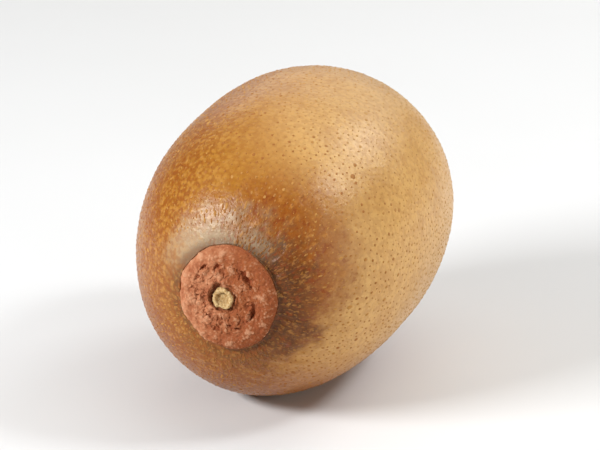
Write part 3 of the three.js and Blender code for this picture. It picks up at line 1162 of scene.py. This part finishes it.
class StemEnd:
    """What the skin's layers share round the stem end: how far out, how brown and how smooth it is, where
    shade is painted beside the collar and where a highlight is painted above it.
    """

    def __init__(self, finish: Finish, collar: Collar, mottle_size: float) -> None:
        """Adds the shared chains to a finish, measured from the collar's middle.

        Args:
            finish: The skin's finish.
            collar: The collar that the distance is measured from.
            mottle_size: The size of the patches that make every edge ragged.
        """
        x, y, z = finish.axes
        across = finish.combine(X=finish.minus(x, collar.x), Z=finish.minus(z, collar.z))
        self.distance = finish.vector("LENGTH", across, output=1)
        self.heading = finish.vector("NORMALIZE", across)
        self.mottle = finish.noise(mottle_size, 4, 0.6)
        self.side = finish.steps(y, -17 * MM, -31 * MM)
        self.ragged = finish.plus(self.distance, finish.times(finish.minus(self.mottle, 0.5), 12 * MM))
        reach = finish.steps(finish.facing(self.heading, 40), 0.45, 1.0, -1.8 * MM, 5.0 * MM)
        wide = finish.steps(finish.minus(self.ragged, reach), 19.5 * MM, 13 * MM)
        close = finish.steps(self.ragged, 17 * MM, 10.5 * MM)
        right = finish.steps(finish.facing(self.heading, 12), -0.95, 0.92, 0.10, 1.0)
        above = finish.steps(finish.facing(self.heading, 106), 0.34, 0.96)
        self.brown = finish.times(wide, self.side, right)
        # deep: russet next to the collar on its right, darkened further as painted shade
        self.deep = finish.times(close, right, self.side)
        # smooth: the patch above the collar where the grain is calmed and a pale highlight is painted
        self.smooth = finish.times(above, self.side, finish.steps(self.ragged, 17 * MM, 9 * MM))


@dataclass(frozen=True)
class KiwiSkin:
    """Ripe golden kiwi skin, its down rubbed off: papery, satin, bronze, with a fine brown grain."""

    sand: str = "#D1A665"
    tan: str = "#BC8A44"
    bronze: str = "#AC7730"
    gold: str = "#A26A1C"
    orange: str = "#8A4608"
    amber: str = "#965A12"
    umber: str = "#4A2300"
    russet: str = "#7C330B"
    fleck: str = "#C0843C"
    pore: str = "#764418"
    # pale colour of the painted highlight above the collar
    painted_highlight: str = "#CEBA98"
    down: str = "#F4DDB8"
    gleam: str = "#FFF6E6"
    patch_size: float = 14 * MM
    blotch_size: float = 5.5 * MM
    mottle_size: float = 3.4 * MM
    grain_size: float = 1.05 * MM
    pebble_size: float = 0.94 * MM
    fine_size: float = 0.55 * MM
    stroke_count: float = 10.5
    stroke_length: float = 1.7 * MM

    def ground(self, finish: Finish, stem: StemEnd) -> None:
        """Goes from tan, and paler sand on the far side that is partly painted light, to bronze and then
        orange-brown at the left and below, which is painted shade.

        Args:
            finish: The skin's finish.
            stem: The chains that are shared round the stem end.
        """
        x, _, z = finish.axes
        blotches = finish.noise(self.blotch_size, 3, 0.55)
        left = finish.steps(x, -3 * MM, -14 * MM)
        below = finish.steps(finish.plus(z, finish.times(x, 0.5)), -4 * MM, -19 * MM)
        finish.coat(self.bronze, finish.steps(finish.noise(self.patch_size), 0.36, 0.64))
        # paler sand to the right and upwards: partly the skin's own tone, partly painted light on the lit
        # side
        finish.coat(self.sand, finish.steps(finish.far_side, 5 * MM, 20 * MM, 0.0, 0.90))
        # painted shade: amber towards the left and orange-brown underneath
        finish.coat(self.amber, left, 0.80)
        finish.coat(self.orange, below, 0.90)
        finish.coat(self.gold, finish.steps(blotches, 0.48, 0.66, 0.0, 0.24))
        finish.coat(self.russet, finish.steps(blotches, 0.50, 0.34, 0.0, 0.38), finish.larger(left, below))
        # gold on the upper stem side: partly the skin's olive-gold, partly painted shade in the dim band
        # between the highlights
        above = finish.steps(z, 6 * MM, 17 * MM)
        finish.coat(self.gold, above, stem.side, finish.steps(stem.mottle, 0.3, 0.6, 0.5, 1.0))

    def ends(self, finish: Finish, stem: StemEnd) -> None:
        """Goes brown round the stem end, most of all on the right, and in a ring where the flower stood, with
        painted shade in dark rings that hug the collar and over the russet beside it, and a painted highlight
        above the collar.

        Args:
            finish: The skin's finish.
            stem: The chains that are shared round the stem end.
        """
        finish.coat(self.orange, stem.brown, 0.92)
        # umber russet beside the collar on its right, deepened as painted shade
        finish.coat(self.umber, stem.deep, 0.95)
        # painted shadow: a dark umber ring that hugs the collar
        finish.coat(self.umber, finish.steps(stem.ragged, 8.5 * MM, 13 * MM, 0.62, 0.0), stem.side)
        # painted highlight: a pale patch over the smooth zone above the collar
        finish.coat(self.painted_highlight, stem.smooth, 0.50)
        # painted shadow: a thin dark contact line right along the collar's edge
        finish.coat(self.umber, finish.steps(stem.distance, 9.0 * MM, 10.8 * MM, 0.62, 0.0), stem.side)
        ring = finish.steps(stem.ragged, 11 * MM, 1 * MM)
        finish.coat(self.orange, finish.steps(finish.axes[1], 24 * MM, 31 * MM), ring, 0.70)

    def strokes(self, finish: Finish, stem: StemEnd) -> Socket:
        """Adds dark and light strokes that run out from the collar.

        Args:
            finish: The skin's finish.
            stem: The chains that are shared round the stem end.

        Returns:
            The strokes' height, from 0 to 1.
        """
        outward = finish.combine(Y=finish.math("DIVIDE", stem.distance, self.stroke_length))
        polar_place = finish.vector("MULTIPLY_ADD", stem.heading, (self.stroke_count,) * 3, outward)
        pattern = finish.noise(0.8, 3, 0.6, polar_place)
        finish.coat(self.russet, finish.steps(pattern, 0.46, 0.36), stem.brown, 0.70)
        finish.coat(self.fleck, finish.steps(pattern, 0.55, 0.66), stem.brown, 0.45)
        return finish.times(pattern, stem.brown)

    def material(self, place: Place, collar: Collar) -> Material:
        """Builds the material.

        Args:
            place: The middle of the berry.
            collar: The collar that the skin goes brown round.

        Returns:
            The skin's material.
        """
        finish = Finish("golden_kiwi_skin", place, self.tan)
        stem = StemEnd(finish, collar, self.mottle_size)
        self.ground(finish, stem)
        self.ends(finish, stem)
        strokes = self.strokes(finish, stem)

        soft = finish.noise(self.grain_size, 4, 0.62)
        fine = finish.noise(self.fine_size, 3, 0.6)
        grains = finish.plus(finish.times(soft, 0.6), finish.times(finish.pebbles(self.pebble_size), 0.24))
        calm = finish.minus(1.0, finish.times(stem.smooth, 0.8))
        dull = finish.minus(1.0, finish.times(stem.deep, 0.7))
        rich = finish.times(finish.steps(finish.far_side, 10 * MM, -8 * MM, 0.25, 0.95), calm)
        finish.coat(self.fleck, finish.steps(grains, 0.37, 0.55, 0.0, 0.52), rich, dull)
        finish.coat(self.orange, finish.steps(grains, 0.40, 0.27, 0.0, 0.85), rich)
        finish.coat(self.fleck, finish.steps(fine, 0.52, 0.70, 0.0, 0.45), dull, finish.larger(rich, 0.45))
        finish.coat(self.pore, finish.steps(fine, 0.45, 0.32, 0.10, 0.50), rich)

        finish.bump(fine, 0.07 * MM)
        finish.bump(finish.times(grains, rich), 0.13 * MM)
        finish.bump(strokes, 0.24 * MM)
        rough = finish.plus(finish.times(stem.brown, 0.05), finish.times(stem.deep, 0.06))
        return finish.done(
            Roughness=finish.plus(finish.steps(soft, 0.3, 0.7, 0.38, 0.28), rough), IOR=1.42,
            Subsurface_Weight=0.06, Subsurface_Radius=(1.6, 0.8, 0.35), Subsurface_Scale=1.0 * MM,
            Sheen_Weight=0.015, Sheen_Roughness=0.45, Sheen_Tint=linear(self.down),
            Specular_Tint=linear(self.gleam),
        )


@dataclass(frozen=True)
class PoreCork:
    """The cork of the skin's pores: matt, from dark brown to a dry golden brown round the stem end."""

    dark: str = "#A26E38"
    brown: str = "#BC8E52"
    orange: str = "#935518"
    golden: str = "#B07A36"
    umber: str = "#6A3A10"
    pale: str = "#BF9357"
    dust: float = 0.3 * MM

    def material(self, place: Place) -> Material:
        """Builds the material.

        Args:
            place: The middle of the berry.

        Returns:
            The specks' material.
        """
        finish = Finish("pore_cork", place, self.dark)
        dust = finish.noise(self.dust, 3, 0.6)
        tone = finish.attribute("tone")
        stem_side = finish.steps(finish.axes[1], -2 * MM, -24 * MM)
        stem_tone = finish.mix(finish.steps(tone, 0.35, 0.9), self.orange, self.golden)
        finish.coat(self.brown, finish.steps(tone, 0.2, 0.8))
        finish.coat(self.pale, finish.steps(finish.far_side, 6 * MM, 20 * MM, 0.0, 0.72))
        finish.coat(stem_tone, finish.larger(stem_side, finish.attribute("rough")), 0.75)
        finish.coat(self.golden, finish.steps(dust, 0.5, 0.7, 0.0, 0.3))
        finish.coat(self.umber, finish.attribute("shade"), 0.70)
        finish.bump(dust, 0.03 * MM)
        return finish.done(Roughness=finish.steps(dust, 0.3, 0.7, 0.65, 0.8), Specular_IOR_Level=0.3)


@dataclass(frozen=True)
class CalyxCork:
    """The dry cork of the old calyx: matt, crumbly, salmon to brick, and red-brown down its cracks and in its
    crumbs' hollows as painted shade, paler on the crumbs' tops as painted light.
    """

    salmon: str = "#B57652"
    brick: str = "#93512C"
    pale: str = "#CE9A76"
    # a darker tone for random flecks, also used as painted shade in the cracks and the crumbs' hollows
    shade_and_dark_tone: str = "#904C2C"
    shade: str = "#7E4020"
    deep: str = "#9C5230"
    patch: float = 3.0 * MM
    dust: float = 0.45 * MM
    crumb: float = 0.22 * MM

    def material(self, place: Place) -> Material:
        """Builds the material.

        Args:
            place: The middle of the berry.

        Returns:
            The collar's material.
        """
        finish = Finish("calyx_cork", place, self.salmon)
        x, _, z = finish.axes
        patches = finish.noise(self.patch, 3, 0.55)
        dust = finish.noise(self.dust, 4, 0.65)
        crumb = finish.noise(self.crumb, 3, 0.6)
        hollow = finish.attribute("hollow")
        crest = finish.attribute("crest")
        # more brick to the right and downwards: partly the cork's own tone, partly painted shade
        uneven = finish.plus(x, finish.times(finish.minus(patches, 0.5), 16 * MM))
        uneven = finish.minus(uneven, finish.times(z, 0.1))
        finish.coat(self.brick, finish.steps(uneven, -6 * MM, 3 * MM))
        finish.coat(self.shade, finish.steps(finish.minus(x, z), 1 * MM, 12 * MM, 0.0, 0.60))
        # painted shade in the crumbs' hollows and painted light on their tops
        finish.coat(self.shade_and_dark_tone, finish.steps(crest, 0.0, -0.14, 0.0, 0.65))
        finish.coat(self.pale, finish.steps(crest, 0.01, 0.14, 0.0, 0.50))
        finish.coat(self.pale, finish.steps(dust, 0.54, 0.70, 0.0, 0.36))
        finish.coat(self.shade_and_dark_tone, finish.steps(dust, 0.44, 0.30, 0.0, 0.55))
        # painted shade down the cracks, darker where they run deeper
        finish.coat(self.shade_and_dark_tone, finish.steps(hollow, 0.15, 0.50))
        finish.coat(self.deep, finish.steps(hollow, 0.40, 0.85))
        finish.bump(crumb, 0.11 * MM)
        rough = finish.steps(crumb, 0.3, 0.7, 0.78, 0.95)
        return finish.done(Roughness=rough, IOR=1.45, Specular_IOR_Level=0.2)


@dataclass(frozen=True)
class StalkPith:
    """The snapped stalk's dry fibre: cream, matt, darker down in the cup."""

    cream: str = "#C4A878"
    straw: str = "#B28B54"
    shade: str = "#8A6430"
    fibre: float = 0.35 * MM

    def material(self, place: Place) -> Material:
        """Builds the material.

        Args:
            place: The middle of the berry.

        Returns:
            The stub's material.
        """
        finish = Finish("stalk_pith", place, self.cream)
        fibre = finish.noise(self.fibre, 4, 0.6)
        finish.coat(self.straw, finish.steps(fibre, 0.42, 0.62))
        finish.coat(self.shade, finish.attribute("hollow"), 0.6)
        finish.bump(fibre, 0.08 * MM)
        return finish.done(Roughness=finish.steps(fibre, 0.3, 0.7, 0.7, 0.85), Specular_IOR_Level=0.3)


@dataclass(frozen=True)
class DriedStyle:
    """Dried flower styles: brittle, matt, dark brown with paler streaks."""

    brown: str = "#4A3019"
    tip: str = "#8A6238"
    streak: float = 0.4 * MM

    def material(self, place: Place) -> Material:
        """Builds the material.

        Args:
            place: The middle of the berry.

        Returns:
            The tuft's material.
        """
        finish = Finish("dried_styles", place, self.brown)
        streak = finish.noise(self.streak, 3, 0.6)
        finish.coat(self.tip, finish.steps(streak, 0.40, 0.66))
        finish.bump(streak, 0.06 * MM)
        return finish.done(Roughness=finish.steps(streak, 0.3, 0.7, 0.75, 0.9))


@dataclass(frozen=True)
class StudioFloor:
    """A pale matt studio sweep."""

    white: str = "#E2E1DF"
    shade: str = "#DEDDDA"

    def material(self) -> Material:
        """Builds the sweep's material."""
        finish = Finish("studio_sweep", Place(0, 0, 0), self.white)
        finish.coat(self.shade, finish.noise(60 * MM, 2))
        return finish.done(Roughness=0.9, Specular_IOR_Level=0.2)


# ---- the studio ---------------------------------------------------------------------------------


def toward(azimuth: float, elevation: float, distance: float) -> Vector:
    """Works out a point in a direction from the origin.

    Args:
        azimuth: The turn about Z in degrees: 0 is -Y and 90 is +X.
        elevation: The angle above the floor in degrees.
        distance: How far off the point is.

    Returns:
        The point.
    """
    turn = math.radians(azimuth)
    rise = math.radians(elevation)
    flat = math.cos(rise)
    return distance * Vector((math.sin(turn) * flat, -math.cos(turn) * flat, math.sin(rise)))


@dataclass(frozen=True)
class Softbox:
    """A rectangular soft light: its direction, its size in metres, its power and its tint."""

    name: str
    azimuth: float
    elevation: float
    width: float
    height: float
    power: float
    tint: str = "#FFFFFF"

    def hang(self, target: Vector, distance: float) -> None:
        """Hangs the light.

        Args:
            target: The point that the light faces.
            distance: How far from it the light hangs.
        """
        choose()
        spot = target + toward(self.azimuth, self.elevation, distance)
        bpy.ops.object.light_add(type="AREA", location=spot)
        light = bpy.context.object
        light.name = self.name
        light.data.shape = "RECTANGLE"
        light.data.size = self.width
        light.data.size_y = self.height
        light.data.energy = self.power
        light.data.color = linear(self.tint)[:3]
        light.rotation_euler = (spot - target).to_track_quat("Z", "Y").to_euler()


SOFTBOXES = (
    Softbox("left_softbox", -41, 28, 0.23, 0.09, 3.75, "#F7FAFF"),
    Softbox("right_softbox", 103, 47, 0.11, 0.11, 1.18, "#F5F9FF"),
    Softbox("high_softbox", 149, 36, 0.20, 0.20, 0.80, "#F5F9FF"),
    Softbox("back_softbox", 195, 22, 0.50, 0.24, 0.35),
    Softbox("side_softbox", 79, 11, 0.42, 0.30, 1.04, "#FFF4E8"),
    Softbox("top_softbox", 165, 72, 0.70, 0.70, 1.3, "#FFFDFA"),
)


@dataclass
class Studio:
    """The sweep, the soft lights and the camera."""

    azimuth: float = 19.3
    elevation: float = 20.3
    lens: float = 180.0
    distance: float = 0.52
    target_height: float = 0.0262
    light_distance: float = 0.55
    light_target_height: float = 0.026
    glow: str = "#F6F5F2"
    glow_strength: float = 0.12
    floor_size: float = 1.6
    floor_back: float = 0.55
    floor_round: float = 0.25

    def camera(self) -> None:
        """Sets up the camera."""
        choose()
        target = Vector((0, 0, self.target_height))
        spot = target + toward(self.azimuth, self.elevation, self.distance)
        bpy.ops.object.camera_add(location=spot, rotation=(spot - target).to_track_quat("Z", "Y").to_euler())
        camera = bpy.context.object
        camera.name = "camera"
        camera.data.lens = self.lens
        bpy.context.scene.camera = camera

    def sweep(self) -> None:
        """Models the floor, which curves up behind the fruit as seen by the camera."""
        choose()
        bpy.ops.mesh.primitive_plane_add(size=self.floor_size, location=(0, 0, 0))
        floor = bpy.context.object
        floor.name = "studio_sweep"
        with editing("VERT"):
            bpy.ops.mesh.subdivide(number_cuts=90)
        points = points_of(floor)
        back = np.array(-toward(self.azimuth, 0, 1.0))
        behind = points @ back - self.floor_back
        bend = np.clip(behind / self.floor_round, 0, 1) * math.pi / 2
        above = np.maximum(0, behind - self.floor_round)
        points += back * (np.where(behind > 0, self.floor_round * np.sin(bend) - behind, 0))[:, None]
        points[:, 2] = np.where(behind > 0, self.floor_round * (1 - np.cos(bend)) + above, 0)
        floor.data.materials.append(StudioFloor().material())
        settle(floor, points)

    def lights(self) -> None:
        """Hangs the lights and sets the room's soft glow."""
        for softbox in SOFTBOXES:
            softbox.hang(Vector((0, 0, self.light_target_height)), self.light_distance)
        world = bpy.data.worlds.new("studio")
        world.use_nodes = True
        bpy.context.scene.world = world
        glow = world.node_tree.nodes["Background"]
        glow.inputs["Color"].default_value = linear(self.glow)
        glow.inputs["Strength"].default_value = self.glow_strength

    def build(self) -> None:
        """Sets up everything that isn't the fruit."""
        self.camera()
        self.sweep()
        self.lights()
        bpy.context.scene.view_settings.view_transform = "Standard"


def find_place(collar: Collar, stub: Stub) -> Place:
    """Reads from the solids where the middle of the berry lies.

    Args:
        collar: The collar, whose back is at its solid's back.
        stub: The stub, which knows its solid's place.

    Returns:
        The middle of the berry.
    """
    low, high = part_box(Node.STUB.value)
    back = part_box(Node.COLLAR.value)[1].y
    return Place(
        (low.x + high.x) / 2 - stub.solid_x,
        back - (collar.face_place + collar.depth),
        (low.z + high.z) / 2 - stub.solid_z,
    )


def main() -> None:
    """Builds the fruit piece by piece, and the studio round it."""
    logging.basicConfig(level=logging.INFO, format="%(name)s: %(message)s")
    berry = Berry()
    collar = Collar()
    stub = Stub()
    tuft = Tuft()
    place = find_place(collar, stub)
    LOG.info("the middle of the berry is at %s", place)
    Studio().build()
    skin = berry.build(place, collar)
    specks = Specks().build(skin, place, collar)
    finish_piece(skin, Node.BERRY, KiwiSkin().material(place, collar))
    finish_piece(specks, Node.BERRY, PoreCork().material(place))
    finish_piece(collar.build(place), Node.COLLAR, CalyxCork().material(place))
    finish_piece(stub.build(place, collar), Node.STUB, StalkPith().material(place))
    finish_piece(tuft.build(place, berry), Node.TUFT, DriedStyle().material(place))


if __name__ == "__main__":
    main()
